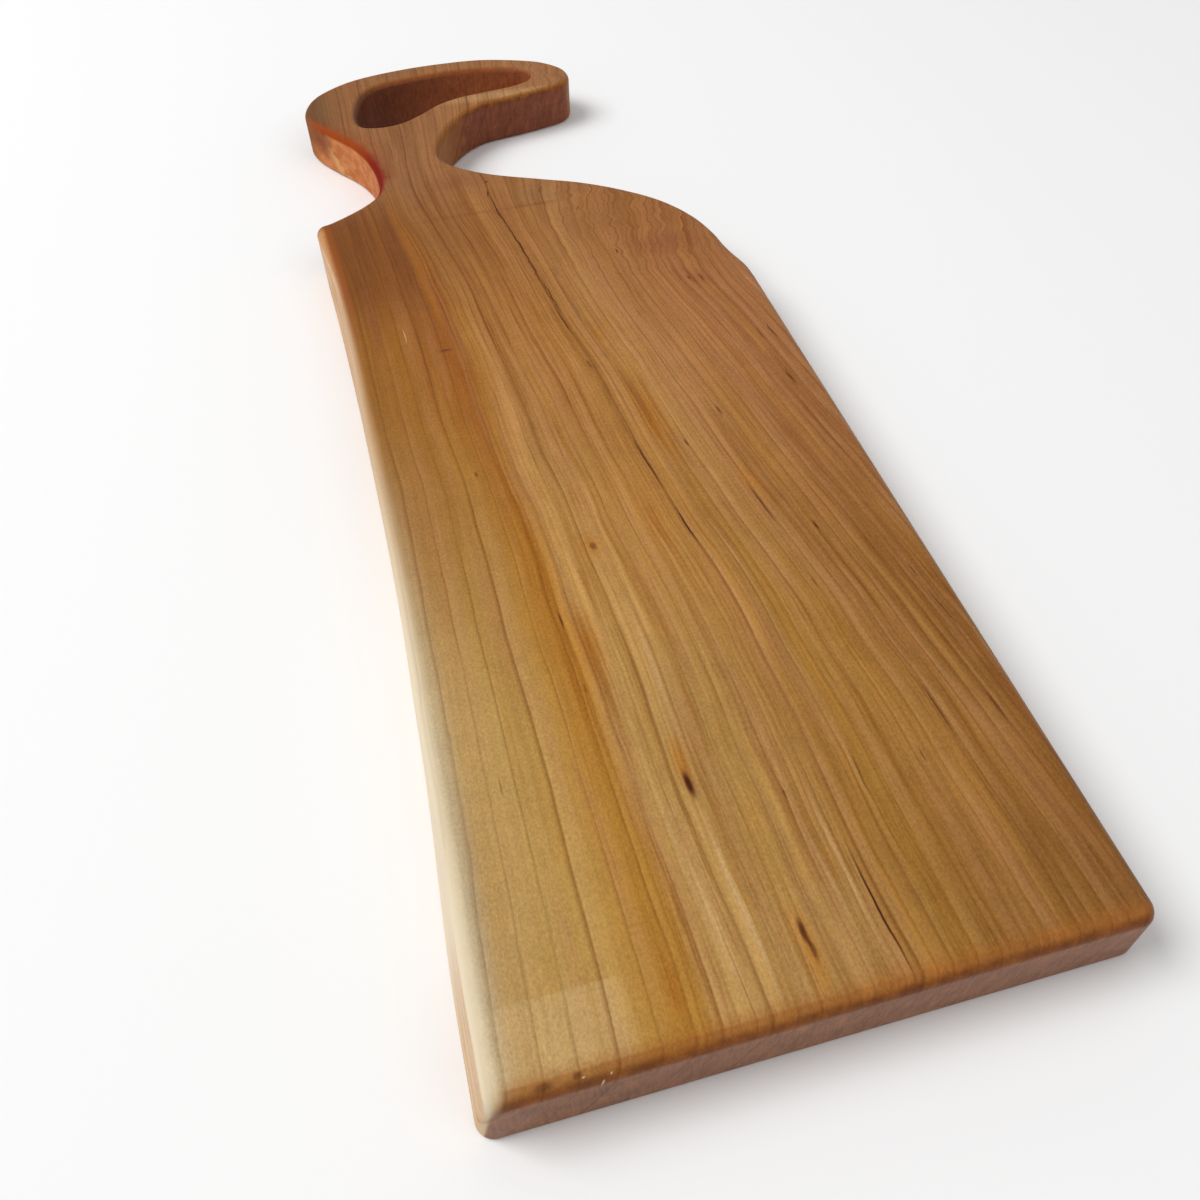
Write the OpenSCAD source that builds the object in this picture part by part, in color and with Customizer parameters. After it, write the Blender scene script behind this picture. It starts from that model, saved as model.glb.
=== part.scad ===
// Serving board with a hooked handle, cut from one plank with a live left edge.
// The origin is at the middle of the underside, +Y runs from the near end to the handle, +Z is up.

/* [Body] */
// Width across the widest part of the body
board_w = 176; // [140:1:230]
// Length of the body, from the near end to its left shoulder
body_l = 381; // [300:1:480]
// Thickness of the plank
board_t = 22; // [16:0.5:32]
// Radius of the two near corners, seen from above
corner_r = 5; // [5:0.5:15]
// Radius of the left shoulder's corner, seen from above
shoulder_r = 5; // [5:0.5:12]
// Length of the right shoulder's slope, from the crotch down to the straight side
slope_l = 142; // [110:1:190]

/* [Live edge] */
// Depth of the long hollow in the left edge
wave_d = 6; // [0:0.5:10]
// How far the top of the left edge leans in from its foot
lean_d = 4; // [0:0.5:5]

/* [Neck] */
// Width of the neck, from the notch on the left to the crotch on the right
neck_w = 32; // [26:1:44]
// Step from the finger hole's left end in to the left side of the neck
neck_step = 2; // [0:0.5:6]
// Length of the wood between the left shoulder and the finger hole
heel_l = 83; // [72:1:110]

/* [Handle] */
// Length of the finger hole across the board
hole_l = 95; // [80:1:120]
// Width of the finger hole along the board
hole_w = 52; // [44:1:64]
// Wood between the finger hole and the handle's left side
rim_left = 26.5; // [20:0.5:40]
// Wood between the finger hole and the tip of the hook
rim_right = 19.5; // [14:0.5:30]
// Wood between the finger hole and the far end
rim_far = 13; // [10:0.5:22]
// Step from the body's left side in to the handle's left side
handle_step = 3.5; // [0:0.5:12]
// How far the foot of the finger hole's far wall slopes in
hole_slope = 5; // [0:0.5:8]

/* [Edges] */
// Rounding of the top edge round the body
body_round = 4; // [1:0.5:4.5]
// Rounding of the top edge round the handle
grip_round = 3; // [1:0.5:4.5]
// Rounding of the finger hole's top rim
hole_round = 1.5; // [0.5:0.5:3]
// Rounding of the bottom edges of the body and the finger hole
foot_round = 1; // [0.5:0.25:2]
// Rounding of the bottom edge round the handle
grip_foot_round = 2; // [0.5:0.25:3]

/* [Hidden] */

// How far cuts run past the faces, and how far outside the line the plank and its hole are sawn first
overrun = 2;
saw_margin = overrun / 2;
// Steps between two knots of a curve, round a corner, and round a top or bottom edge
curve_steps = 4;
corner_steps = 5;
top_steps = 5;
foot_steps = 2;

left_x = -board_w / 2;
right_x = board_w / 2;
handle_x = left_x + handle_step;
neck_left_x = handle_x + rim_left + neck_step;
neck_right_x = neck_left_x + neck_w;
tip_x = handle_x + rim_left + hole_l + rim_right;
total_l = body_l + heel_l + hole_w + rim_far;

// Live edge: share of the hollow's depth, share of the body's length
live_edge_shares = [
    [0.36, 0.02], [0.38, 0.105], [0.79, 0.255], [1, 0.44], [0.79, 0.66], [0.43, 0.83], [0.07, 0.95]
];
// Lean of the live edge: share of the body's length, share of the lean
lean_shares = [
    [0, 1], [0.15, 1], [0.22, 0.6], [0.3, 0.3], [0.55, 0.3], [0.66, 0.65], [0.76, 1], [0.88, 0.9],
    [0.95, 0.35], [0.98, 0]
];
// Left shoulder: share of the way from the left side to the neck, share of the heel
left_shoulder_shares = [[0.2, 0.008], [0.4, 0.05], [0.7, 0.127], [0.9, 0.205], [0.98, 0.28]];
// Left side of the neck and grip: share of the way from the neck to the handle's side, zone share along
grip_shares = [
    [0, 0.365], [0.03, 0.515], [0.14, 0.69], [0.32, 0.84], [0.64, 1.02], [0.92, 1.3], [1, 1.5]
];
// Far side of the handle, from its left side to the tip of the hook: zone shares across and along
far_side_shares = [
    [0.08, 1.7], [0.28, 1.87], [0.74, 2.21], [1.05, 2.6], [1.29, 2.93], [1.53, 3], [1.77, 2.84],
    [2, 2.24], [2.52, 1.945], [2.97, 1.73], [3, 1.53]
];
// Underside of the hook: share of the way from the tip to the crotch, zone share along
hook_shares = [
    [0.06, 1.39], [0.2, 1.31], [0.36, 1.25], [0.5, 1.21], [0.635, 1.16], [0.765, 1.025], [0.885, 0.88],
    [0.955, 0.745], [1, 0.595]
];
// Right shoulder: share of the way from the neck to the right side, share of the slope's length
right_shoulder_shares = [
    [0.014, 0.06], [0.082, 0.125], [0.19, 0.19], [0.383, 0.268], [0.54, 0.33], [0.685, 0.411],
    [0.82, 0.516], [0.908, 0.635], [0.948, 0.745], [0.96, 0.82], [0.974, 0.875], [0.995, 0.94], [1, 1]
];
// Finger hole: shares of its length and of its width
hole_shares = [
    [0, 0.23], [0.02, 0.52], [0.075, 0.78], [0.17, 0.91], [0.34, 0.965], [0.54, 1], [0.71, 0.975],
    [0.855, 0.915], [0.96, 0.83], [1, 0.69], [0.97, 0.565], [0.875, 0.485], [0.71, 0.44], [0.56, 0.395],
    [0.44, 0.305], [0.33, 0.15], [0.215, 0.025], [0.1, 0], [0.027, 0.065]
];

function mix(from, to, share) = from + (to - from) * share;

// Zone shares across the handle: 0 is its left side, 1 and 2 the ends of the finger hole, 3 the tip
function across(share) =
    handle_x
    + rim_left * min(share, 1)
    + hole_l * min(max(share - 1, 0), 1)
    + rim_right * max(share - 2, 0);

// Zone shares along the handle: 0 is the left shoulder, 1 and 2 the sides of the finger hole, 3 the far end
function along(share) =
    body_l
    + heel_l * min(share, 1)
    + hole_w * min(max(share - 1, 0), 1)
    + rim_far * max(share - 2, 0);

// A smooth curve through knots, with no overshoot where short and long spans meet
function blend(p, q, t, start, end) = ((end - t) * p + (t - start) * q) / (end - start);

function span_point(p0, p1, p2, p3, share) =
    let (t1 = sqrt(norm(p1 - p0)))
    let (t2 = t1 + sqrt(norm(p2 - p1)))
    let (t3 = t2 + sqrt(norm(p3 - p2)))
    let (t = mix(t1, t2, share))
    let (a = blend(p0, p1, t, 0, t1))
    let (b = blend(p1, p2, t, t1, t2))
    let (c = blend(p2, p3, t, t2, t3))
    blend(blend(a, b, t, 0, t2), blend(b, c, t, t1, t3), t, t1, t2);

function closed_curve(knots) =
    let (n = len(knots))
    [
        for (i = [0 : n - 1])
        for (step = [0 : curve_steps - 1])
        span_point(
            knots[(i + n - 1) % n],
            knots[i],
            knots[(i + 1) % n],
            knots[(i + 2) % n],
            step / curve_steps
        )
    ];

// The ends of an open curve run on as they came
function open_curve(knots) =
    let (last = len(knots) - 1)
    let (before = 2 * knots[0] - knots[1])
    let (after = 2 * knots[last] - knots[last - 1])
    let (run = concat([before], knots, [after]))
    concat(
        [
            for (i = [0 : last - 1])
            for (step = [0 : curve_steps - 1])
            span_point(run[i], run[i + 1], run[i + 2], run[i + 3], step / curve_steps)
        ],
        [knots[last]]
    );

// An arc about a centre, with both its ends
function arc(centre, radius, from, to) = [
    for (step = [0 : corner_steps])
    let (angle = mix(from, to, step / corner_steps))
    centre + radius * [cos(angle), sin(angle)]
];

// The board's edge seen from above, clockwise from the near end's left corner, near end on y = 0
function near_left_corner() =
    let (side_x = left_x + wave_d * live_edge_shares[0][0])
    arc([side_x + corner_r, corner_r], corner_r, 270, 180);

function live_edge_knots() = [
    for (s = live_edge_shares) [left_x + wave_d * s[0], body_l * s[1]]
];

function shoulder_corner() =
    arc([left_x + shoulder_r, body_l - shoulder_r], shoulder_r, 180, 95);

function handle_knots() = concat(
    [for (s = left_shoulder_shares) [mix(left_x, neck_left_x, s[0]), along(s[1])]],
    [for (s = grip_shares) [mix(neck_left_x, handle_x, s[0]), along(s[1])]],
    [for (s = far_side_shares) [across(s[0]), along(s[1])]],
    [for (s = hook_shares) [mix(tip_x, neck_right_x, s[0]), along(s[1])]],
    right_shoulder_knots()
);

function right_shoulder_knots() =
    let (last = len(hook_shares) - 1)
    let (crotch_y = along(hook_shares[last][1]))
    [for (s = right_shoulder_shares) [mix(neck_right_x, right_x, s[0]), crotch_y - slope_l * s[1]]];

function near_right_corner() = arc([right_x - corner_r, corner_r], corner_r, 0, -90);

outline = concat(
    near_left_corner(),
    open_curve(live_edge_knots()),
    shoulder_corner(),
    open_curve(handle_knots()),
    near_right_corner()
);

hole_outline = closed_curve([
    for (s = hole_shares) [across(1 + s[0]), along(1 + s[1])]
]);

// Square to the outline at a point, away from what it encloses
function outward(loop, i) =
    let (n = len(loop))
    let (run = loop[(i + 1) % n] - loop[(i + n - 1) % n])
    [-run[1], run[0]] / norm(run);

// How far a point has come from the body, 0, along the heel to the handle, 1
function grip_share(p) = min(max((p[1] - body_l) / heel_l, 0), 1);

function top_round_at(p) = mix(body_round, grip_round, grip_share(p));

function foot_round_at(p) = mix(foot_round, grip_foot_round, grip_share(p));

// How far a point of the left side leans in at a height
function lean_at(p, z) =
    p[0] < 0 ? lean_d * lookup(p[1] / body_l, lean_shares) * z / board_t : 0;

// A point beside the outline's own at a height: drawn in by an inset, and leaning on the left side
function side_point(i, z, inset) =
    let (p = outline[i] - outward(outline, i) * inset)
    [p[0] + lean_at(outline[i], z), p[1], z];

// Rings of the rounded bottom edge, from the underside up, and of the rounded top edge, up to the top
function foot_edge_ring(angle) = [
    for (i = [0 : len(outline) - 1])
    let (round_r = foot_round_at(outline[i]))
    side_point(i, round_r * (1 - cos(angle)), round_r * (1 - sin(angle)))
];

function top_edge_ring(angle) = [
    for (i = [0 : len(outline) - 1])
    let (round_r = top_round_at(outline[i]))
    side_point(i, board_t - round_r * (1 - sin(angle)), round_r * (1 - cos(angle)))
];

function below_foot_ring() = [
    for (i = [0 : len(outline) - 1]) side_point(i, -overrun, foot_round_at(outline[i]))
];

function above_top_ring() = [
    for (i = [0 : len(outline) - 1]) side_point(i, board_t + overrun, top_round_at(outline[i]))
];

// An upright ring at a height, beside a loop seen from above and outside it by an outset
function upright_ring(loop, z, outset) = [
    for (i = [0 : len(loop) - 1])
    let (p = loop[i] + outward(loop, i) * outset)
    [p[0], p[1], z]
];

// The finger hole's ring at a height, with the slope of its far wall
function hole_ring(z, outset) = [
    for (i = [0 : len(hole_outline) - 1])
    let (away = outward(hole_outline, i))
    let (p = hole_outline[i] + away * outset)
    [p[0], p[1] - hole_slope * max(away[1], 0) * (1 - z / board_t), z]
];

function quarter(steps, step) = 90 * step / steps;

function flat(ring) = [for (p = ring) [p[0], p[1]]];

function raised(ring, z) = [for (p = ring) [p[0], p[1], z]];

// A closed band through rings of as many points each, the last ring joined to the first.
// In the rings' cross-section, the wood that it takes away lies on the right of the way round.
module band(rings) {
    n = len(rings[0]);
    m = len(rings);
    points = [for (ring = rings) each ring];
    first_sides = [
        for (r = [0 : m - 1])
        for (i = [0 : n - 1])
        [r * n + i, ((r + 1) % m) * n + i, ((r + 1) % m) * n + (i + 1) % n]
    ];
    second_sides = [
        for (r = [0 : m - 1])
        for (i = [0 : n - 1])
        [r * n + i, ((r + 1) % m) * n + (i + 1) % n, r * n + (i + 1) % n]
    ];
    polyhedron(points, concat(first_sides, second_sides));
}

// The plank sawn a little outside the line
module sawn_blank() {
    linear_extrude(height = board_t)
    polygon(flat(upright_ring(outline, 0, saw_margin)));
}

// What shaping takes off the sawn side: all that lies outside the eased foot, the side and the rounded top
module outside_shavings() {
    band(concat(
        [below_foot_ring()],
        [for (step = [0 : foot_steps]) foot_edge_ring(quarter(foot_steps, step))],
        [for (step = [0 : top_steps]) top_edge_ring(quarter(top_steps, step))],
        [above_top_ring()],
        [upright_ring(outline, board_t + overrun, overrun), upright_ring(outline, -overrun, overrun)]
    ));
}

// The finger hole sawn a little inside the line
module sawn_hole() {
    translate([0, 0, -overrun])
    linear_extrude(height = board_t + 2 * overrun)
    polygon(flat(hole_ring(0, -saw_margin)));
}

// What shaping takes off the sawn hole
module hole_shavings() {
    band(concat(
        [for (z = [-overrun, board_t + overrun]) raised(hole_ring(0, -overrun), z)],
        [hole_ring(board_t + overrun, hole_round)],
        [
            for (step = [top_steps : -1 : 0])
            let (angle = quarter(top_steps, step))
            hole_ring(board_t - hole_round * (1 - sin(angle)), hole_round * (1 - cos(angle)))
        ],
        [
            for (step = [foot_steps : -1 : 0])
            let (angle = quarter(foot_steps, step))
            hole_ring(foot_round * (1 - cos(angle)), foot_round * (1 - sin(angle)))
        ],
        [hole_ring(-overrun, foot_round)]
    ));
}

module board() {
    color([0.71, 0.49, 0.27])
    translate([0, -total_l / 2, 0])
    difference() {
        sawn_blank();
        outside_shavings();
        sawn_hole();
        hole_shavings();
    }
}

board();
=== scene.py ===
import math

import bmesh
import bpy
from mathutils import Matrix, Vector


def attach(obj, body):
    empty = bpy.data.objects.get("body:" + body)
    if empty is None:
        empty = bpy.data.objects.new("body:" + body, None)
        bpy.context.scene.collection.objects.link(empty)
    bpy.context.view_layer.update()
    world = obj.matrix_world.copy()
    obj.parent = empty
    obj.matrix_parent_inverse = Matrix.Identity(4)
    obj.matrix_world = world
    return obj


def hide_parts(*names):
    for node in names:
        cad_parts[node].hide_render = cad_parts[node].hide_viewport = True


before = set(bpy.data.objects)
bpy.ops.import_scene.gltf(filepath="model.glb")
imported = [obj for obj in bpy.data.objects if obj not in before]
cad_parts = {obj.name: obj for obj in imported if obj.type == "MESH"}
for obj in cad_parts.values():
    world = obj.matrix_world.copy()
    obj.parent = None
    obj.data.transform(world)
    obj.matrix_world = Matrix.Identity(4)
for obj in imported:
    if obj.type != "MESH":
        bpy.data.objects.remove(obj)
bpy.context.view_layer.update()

MM = 0.001
IMAGE_SIDE = 1200


# Camera: angles in degrees, lens and shift in pixels of the photograph, the rest in millimetres

HEADING, PITCH, ROLL = 13.32, 47.73, 1.97
CAMERA_PLACE = (-68.65, -337.35, 281.63)
LENS_PX, SHIFT_PX = 1080, -55
SENSOR_W = 36
NEAREST_SEEN = 10


def aim_camera():
    """The photograph's own view: from above the near end, a little to the left, looking along the board."""
    heading, pitch, roll = [math.radians(angle) for angle in (HEADING, PITCH, ROLL)]
    ahead = Vector((math.sin(heading), math.cos(heading), 0))
    level_right = Vector((math.cos(heading), -math.sin(heading), 0))
    forward = ahead * math.cos(pitch) - Vector((0, 0, 1)) * math.sin(pitch)
    level_up = level_right.cross(forward)
    right = level_right * math.cos(roll) - level_up * math.sin(roll)
    up = level_up * math.cos(roll) + level_right * math.sin(roll)
    lens = bpy.data.cameras.new("camera")
    lens.sensor_width = SENSOR_W
    lens.lens = SENSOR_W * LENS_PX / IMAGE_SIDE
    lens.shift_y = SHIFT_PX / IMAGE_SIDE
    lens.clip_start = NEAREST_SEEN * MM
    camera = bpy.data.objects.new("camera", lens)
    turned = Matrix((right, up, -forward)).transposed().to_4x4()
    camera.matrix_world = Matrix.Translation(Vector(CAMERA_PLACE) * MM) @ turned
    bpy.context.scene.collection.objects.link(camera)
    bpy.context.scene.camera = camera


# Shape, in millimetres, with the near end on y = 0 until it is placed

BOARD_W, BODY_L, BOARD_T = 176, 381, 22
CORNER_R, SHOULDER_R, SLOPE_L = 5, 5, 142
WAVE_D, LEAN_D = 6, 4
NECK_W, NECK_STEP, HEEL_L = 32, 2, 83
HOLE_L, HOLE_W = 95, 52
RIM_LEFT, RIM_RIGHT, RIM_FAR = 26.5, 19.5, 13
HANDLE_STEP, HOLE_SLOPE = 3.5, 5
BODY_ROUND, GRIP_ROUND, HOLE_ROUND = 4, 3, 1.5
FOOT_ROUND, GRIP_FOOT_ROUND = 1, 2
# How much softer the hole's rim gets than its plain rounding, at its left end and on its far side
SOFTER_LEFT, SOFTER_FAR = 3, 1.2

LEFT_X, RIGHT_X = -BOARD_W / 2, BOARD_W / 2
HANDLE_X = LEFT_X + HANDLE_STEP
NECK_LEFT_X = HANDLE_X + RIM_LEFT + NECK_STEP
NECK_RIGHT_X = NECK_LEFT_X + NECK_W
TIP_X = HANDLE_X + RIM_LEFT + HOLE_L + RIM_RIGHT
TOTAL_L = BODY_L + HEEL_L + HOLE_W + RIM_FAR

CURVE_STEPS, CORNER_STEPS, TOP_STEPS, FOOT_STEPS = 12, 12, 10, 5

# Outlines are shares of the sizes above. The live edge: how far in, and how far along the body
LIVE_EDGE = [
    (0.36, 0.02), (0.38, 0.105), (0.79, 0.255), (1, 0.44), (0.79, 0.66), (0.43, 0.83), (0.07, 0.95)
]
# How much the live edge leans, along the body
LEAN = [
    (0, 1), (0.15, 1), (0.22, 0.6), (0.3, 0.3), (0.55, 0.3), (0.66, 0.65), (0.76, 1), (0.88, 0.9),
    (0.95, 0.35), (0.98, 0)
]
# From the left shoulder round the handle to the right shoulder: shares across, and zones of the handle
LEFT_SHOULDER = [(0.2, 0.008), (0.4, 0.05), (0.7, 0.127), (0.9, 0.205), (0.98, 0.28)]
GRIP = [(0, 0.365), (0.03, 0.515), (0.14, 0.69), (0.32, 0.84), (0.64, 1.02), (0.92, 1.3), (1, 1.5)]
FAR_SIDE = [
    (0.08, 1.7), (0.28, 1.87), (0.74, 2.21), (1.05, 2.6), (1.29, 2.93), (1.53, 3), (1.77, 2.84),
    (2, 2.24), (2.52, 1.945), (2.97, 1.73), (3, 1.53)
]
HOOK = [
    (0.06, 1.39), (0.2, 1.31), (0.36, 1.25), (0.5, 1.21), (0.635, 1.16), (0.765, 1.025), (0.885, 0.88),
    (0.955, 0.745), (1, 0.595)
]
RIGHT_SHOULDER = [
    (0.014, 0.06), (0.082, 0.125), (0.19, 0.19), (0.383, 0.268), (0.54, 0.33), (0.685, 0.411),
    (0.82, 0.516), (0.908, 0.635), (0.948, 0.745), (0.96, 0.82), (0.974, 0.875), (0.995, 0.94), (1, 1)
]
HOLE = [
    (0, 0.23), (0.02, 0.52), (0.075, 0.78), (0.17, 0.91), (0.34, 0.965), (0.54, 1), (0.71, 0.975),
    (0.855, 0.915), (0.96, 0.83), (1, 0.69), (0.97, 0.565), (0.875, 0.485), (0.71, 0.44), (0.56, 0.395),
    (0.44, 0.305), (0.33, 0.15), (0.215, 0.025), (0.1, 0), (0.027, 0.065)
]


def mix(start, end, share):
    return start + (end - start) * share


def table_at(table, at):
    """The value between a table's rows, held at its ends."""
    if at <= table[0][0]:
        return table[0][1]
    for (low, before), (high, after) in zip(table, table[1:]):
        if at <= high:
            return mix(before, after, (at - low) / (high - low))
    return table[-1][1]


def zone_place(place, zones, share):
    """Where a share comes to over zones laid end to end: 1 is the end of the first, 2 of the second."""
    for k, zone in enumerate(zones):
        place += zone * min(max(share - k, 0), 1)
    return place


def handle_x(share):
    """Over the handle's width: its left rim, the hole, its right rim."""
    return zone_place(HANDLE_X, (RIM_LEFT, HOLE_L, RIM_RIGHT), share)


def handle_y(share):
    """Up the handle: from the left shoulder to the hole, the hole, the far rim."""
    return zone_place(BODY_L, (HEEL_L, HOLE_W, RIM_FAR), share)


def span_point(p0, p1, p2, p3, share):
    """A point between p1 and p2 on a smooth curve that doesn't overshoot."""
    t1 = math.sqrt((p1 - p0).length)
    t2 = t1 + math.sqrt((p2 - p1).length)
    t3 = t2 + math.sqrt((p3 - p2).length)
    t = mix(t1, t2, share)
    a = mix(p0, p1, t / t1)
    b = mix(p1, p2, (t - t1) / (t2 - t1))
    c = mix(p2, p3, (t - t2) / (t3 - t2))
    return mix(mix(a, b, t / t2), mix(b, c, (t - t1) / (t3 - t1)), (t - t1) / (t2 - t1))


def closed_curve(knots):
    n = len(knots)
    return [
        span_point(knots[i - 1], knots[i], knots[(i + 1) % n], knots[(i + 2) % n], step / CURVE_STEPS)
        for i in range(n) for step in range(CURVE_STEPS)
    ]


def open_curve(knots):
    run = [2 * knots[0] - knots[1], *knots, 2 * knots[-1] - knots[-2]]
    return [
        span_point(*run[i:i + 4], step / CURVE_STEPS)
        for i in range(len(knots) - 1) for step in range(CURVE_STEPS)
    ] + [knots[-1]]


def arc(centre, radius, start, end):
    turns = [math.radians(mix(start, end, step / CORNER_STEPS)) for step in range(CORNER_STEPS + 1)]
    return [Vector(centre) + radius * Vector((math.cos(turn), math.sin(turn))) for turn in turns]


def board_outline():
    """The board's edge seen from above, clockwise from the near left corner."""
    live_edge = [Vector((LEFT_X + WAVE_D * a, BODY_L * b)) for a, b in LIVE_EDGE]
    crotch_y = handle_y(HOOK[-1][1])
    handle = (
        [Vector((mix(LEFT_X, NECK_LEFT_X, a), handle_y(b))) for a, b in LEFT_SHOULDER]
        + [Vector((mix(NECK_LEFT_X, HANDLE_X, a), handle_y(b))) for a, b in GRIP]
        + [Vector((handle_x(a), handle_y(b))) for a, b in FAR_SIDE]
        + [Vector((mix(TIP_X, NECK_RIGHT_X, a), handle_y(b))) for a, b in HOOK]
        + [Vector((mix(NECK_RIGHT_X, RIGHT_X, a), crotch_y - SLOPE_L * b)) for a, b in RIGHT_SHOULDER]
    )
    return (
        arc((live_edge[0].x + CORNER_R, CORNER_R), CORNER_R, 270, 180)
        + open_curve(live_edge)
        + arc((LEFT_X + SHOULDER_R, BODY_L - SHOULDER_R), SHOULDER_R, 180, 95)
        + open_curve(handle)
        + arc((RIGHT_X - CORNER_R, CORNER_R), CORNER_R, 0, -90)
    )


def outwards(loop):
    """Square to the loop at each of its points, away from what it encloses."""
    runs = [loop[(i + 1) % len(loop)] - loop[i - 1] for i in range(len(loop))]
    return [Vector((-run.y, run.x)).normalized() for run in runs]


def round_over(top, radius, steps):
    """Heights and insets of a rounded edge, from the upright side to the flat face."""
    turns = [math.pi / 2 * step / steps for step in range(steps + 1)]
    section = []
    for turn in turns:
        drop, inset = radius * (1 - math.sin(turn)), radius * (1 - math.cos(turn))
        section.append((BOARD_T - drop if top else drop, inset))
    return section


def edge_rings():
    """Rings round the board's outside, from the underside up to the top face."""
    loop = board_outline()
    away = outwards(loop)
    grip = [min(max((p.y - BODY_L) / HEEL_L, 0), 1) for p in loop]
    lean = [LEAN_D * table_at(LEAN, p.y / BODY_L) / BOARD_T if p.x < 0 else 0 for p in loop]
    sections = []
    for i, p in enumerate(loop):
        foot = round_over(False, mix(FOOT_ROUND, GRIP_FOOT_ROUND, grip[i]), FOOT_STEPS)[::-1]
        top = round_over(True, mix(BODY_ROUND, GRIP_ROUND, grip[i]), TOP_STEPS)
        sections.append([
            Vector((p.x - away[i].x * inset + lean[i] * z, p.y - away[i].y * inset, z))
            for z, inset in foot + top
        ])
    return [list(ring) for ring in zip(*sections)]


def hole_rings():
    """Rings round the finger hole, from the underside up: its far wall slopes and its rim is soft."""
    loop = closed_curve([Vector((handle_x(1 + a), handle_y(1 + b))) for a, b in HOLE])
    away = outwards(loop)
    sections = []
    for p, out in zip(loop, away):
        rim = HOLE_ROUND + SOFTER_LEFT * max(-out.x, 0) ** 2 + SOFTER_FAR * max(out.y, 0) ** 2
        section = round_over(False, FOOT_ROUND, FOOT_STEPS)[::-1] + round_over(True, rim, TOP_STEPS)
        slope = HOLE_SLOPE * max(out.y, 0)
        sections.append([
            Vector((p.x + out.x * inset, p.y + out.y * inset - slope * (1 - z / BOARD_T), z))
            for z, inset in section
        ])
    return [list(ring) for ring in zip(*sections)]


def skin_between(mesh, rings):
    """Joins rings of as many points each with four-sided faces, and returns their corners."""
    corners = [[mesh.verts.new((p - Vector((0, TOTAL_L / 2, 0))) * MM) for p in ring] for ring in rings]
    n = len(rings[0])
    for low, high in zip(corners, corners[1:]):
        for i in range(n):
            mesh.faces.new((low[i], high[i], high[(i + 1) % n], low[(i + 1) % n]))
    return corners


def make_board():
    mesh = bmesh.new()
    outside = skin_between(mesh, edge_rings())
    inside = skin_between(mesh, hole_rings())
    for level in (0, -1):
        loops = (outside[level], inside[level])
        edges = [mesh.edges.get((loop[i], loop[i - 1])) for loop in loops for i in range(len(loop))]
        bmesh.ops.triangle_fill(mesh, use_beauty=True, edges=edges)
    bmesh.ops.recalc_face_normals(mesh, faces=mesh.faces)
    for face in mesh.faces:
        face.smooth = True
    data = bpy.data.meshes.new("serving_board")
    mesh.to_mesh(data)
    mesh.free()
    piece = bpy.data.objects.new("serving_board", data)
    bpy.context.scene.collection.objects.link(piece)
    even = piece.modifiers.new("flat faces stay flat", "WEIGHTED_NORMAL")
    even.weight = 100
    even.keep_sharp = True
    return piece


# Finishes

def tone(red, green, blue):
    """A colour from its screen values, 0 to 255."""
    parts = [value / 255 for value in (red, green, blue)]
    return (*[part / 12.92 if part <= 0.04045 else ((part + 0.055) / 1.055) ** 2.4 for part in parts], 1)


def grey(level):
    return (level, level, level, 1)


class Wire:
    """A node's output, which can be worked with as a number."""

    def __init__(self, finish, socket):
        self.finish = finish
        self.socket = socket

    def worked(self, operation, first, second=0.0):
        return self.finish.node("Math", {"operation": operation}, {0: first, 1: second})

    def __add__(self, other):
        return self.worked("ADD", self, other)

    def __radd__(self, other):
        return self.worked("ADD", other, self)

    def __sub__(self, other):
        return self.worked("SUBTRACT", self, other)

    def __rsub__(self, other):
        return self.worked("SUBTRACT", other, self)

    def __mul__(self, other):
        return self.worked("MULTIPLY", self, other)

    def __rmul__(self, other):
        return self.worked("MULTIPLY", other, self)

    def __truediv__(self, other):
        return self.worked("DIVIDE", self, other)

    def __rtruediv__(self, other):
        return self.worked("DIVIDE", other, self)

    def __gt__(self, other):
        return self.worked("GREATER_THAN", self, other)

    def __lt__(self, other):
        return self.worked("LESS_THAN", self, other)

    def __abs__(self):
        return self.worked("ABSOLUTE", self)

    def held(self, low=0.0, high=1.0):
        return self.worked("MINIMUM", self.worked("MAXIMUM", self, low), high)


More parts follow.
